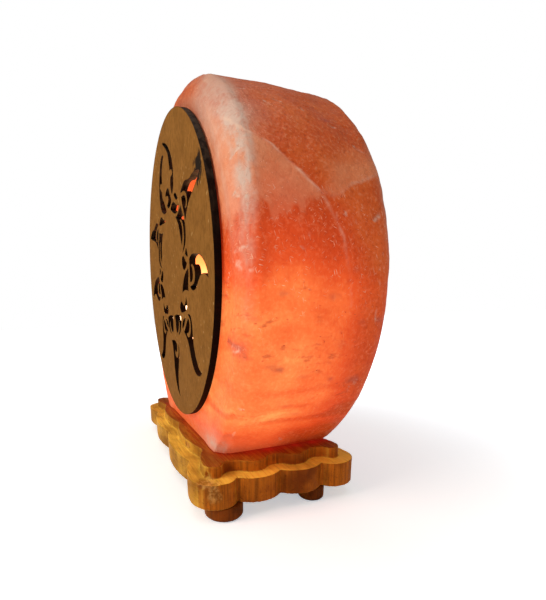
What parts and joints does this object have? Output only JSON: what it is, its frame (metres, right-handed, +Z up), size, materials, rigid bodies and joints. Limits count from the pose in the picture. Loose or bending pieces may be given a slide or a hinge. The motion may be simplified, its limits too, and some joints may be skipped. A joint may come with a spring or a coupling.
{
  "type": "salt crystal lamp",
  "caption": "Round flat-bottomed rock salt lamp, lit from inside, with a cut-out sun panel on its front, a stepped scalloped wooden base on turned feet and a clip-in screw lampholder.",
  "frame": {"origin": "centre of the overall box in plan, on the surface the feet stand on", "axes": "+Z up, the sun panel faces -Y, +X to the right when looking at the panel"},
  "size_m": [0.19, 0.0828, 0.1932],
  "materials": {
    "rock_salt": "cut rock salt, satin, slightly see-through",
    "panel_board": "raw board with scorched laser-cut edges",
    "adhesive_pads": "matte",
    "base_wood": "oiled wood, satin",
    "foot_wood": "stained wood, satin",
    "zinc_screws": "zinc plated",
    "plug_plastic": "matte",
    "holder_plastic": "moulded, half gloss",
    "holder_ceramic": "unglazed",
    "contact_brass": "satin",
    "spring_steel": "satin",
    "clip_steel": "satin",
    "solder_tip": "dull solder",
    "cap_insulator": "dark vitrite",
    "bulb_cap_metal": "satin",
    "bulb_envelope": "clear",
    "stem_glass": "clear",
    "lead_wire": "drawn wire",
    "filament": "coiled wire, lit"
  },
  "bodies": {
    "root": {"salt_block": "rock_salt", "sun_panel": "panel_board", "panel_adhesive": "adhesive_pads", "wood_base": "base_wood", "foot_front_right": "foot_wood", "foot_rear_right": "foot_wood", "foot_front_left": "foot_wood", "foot_rear_left": "foot_wood", "foot_screws": "zinc_screws", "base_screws": "zinc_screws", "salt_plugs": "plug_plastic"},
    "holder": {"holder_end_cap": "holder_plastic", "holder_housing": "holder_plastic", "holder_core": "holder_ceramic", "threaded_shell": "contact_brass", "side_contact": "contact_brass", "centre_terminal": "contact_brass", "terminal_screws": "zinc_screws", "contact_spring": "spring_steel", "clip_bracket": "clip_steel", "clip_pins": "clip_steel"},
    "wing_right": {"clip_wing_right": "clip_steel"},
    "wing_left": {"clip_wing_left": "clip_steel"},
    "plunger": {"centre_contact": "contact_brass"},
    "bulb": {"bulb_tip": "solder_tip", "bulb_insulator": "cap_insulator", "bulb_cap": "bulb_cap_metal", "bulb_glass": "bulb_envelope", "bulb_stem": "stem_glass", "bulb_leads": "lead_wire", "bulb_filament": "filament"}
  },
  "joints": [
    {"name": "holder_pull", "type": "slide", "parent": "root", "child": "holder", "axis": [0, 0, -1], "range_m": [0, 0.1]},
    {"name": "wing_right_press", "type": "hinge", "parent": "holder", "child": "wing_right", "pos_m": [0.01595, 0.004, 0.0438], "axis": [0, 1, 0], "range_deg": [0, 8], "stiffness_Nm_per_rad": 0.05},
    {"name": "wing_left_press", "type": "hinge", "parent": "holder", "child": "wing_left", "pos_m": [-0.01595, 0.004, 0.0438], "axis": [0, -1, 0], "range_deg": [0, 8], "stiffness_Nm_per_rad": 0.05},
    {"name": "contact_rise", "type": "slide", "parent": "holder", "child": "plunger", "axis": [0, 0, 1], "range_m": [0, 0.00285], "deforming": ["contact_spring"]},
    {"name": "bulb_turn", "type": "hinge", "parent": "plunger", "child": "bulb", "pos_m": [0, 0.004, 0.03], "axis": [0, 0, 1], "range_deg": [0, 360]}
  ],
  "couplings": [
    {"joint": "contact_rise", "follows": "bulb_turn", "m_per_rad": 0.0004488}
  ]
}
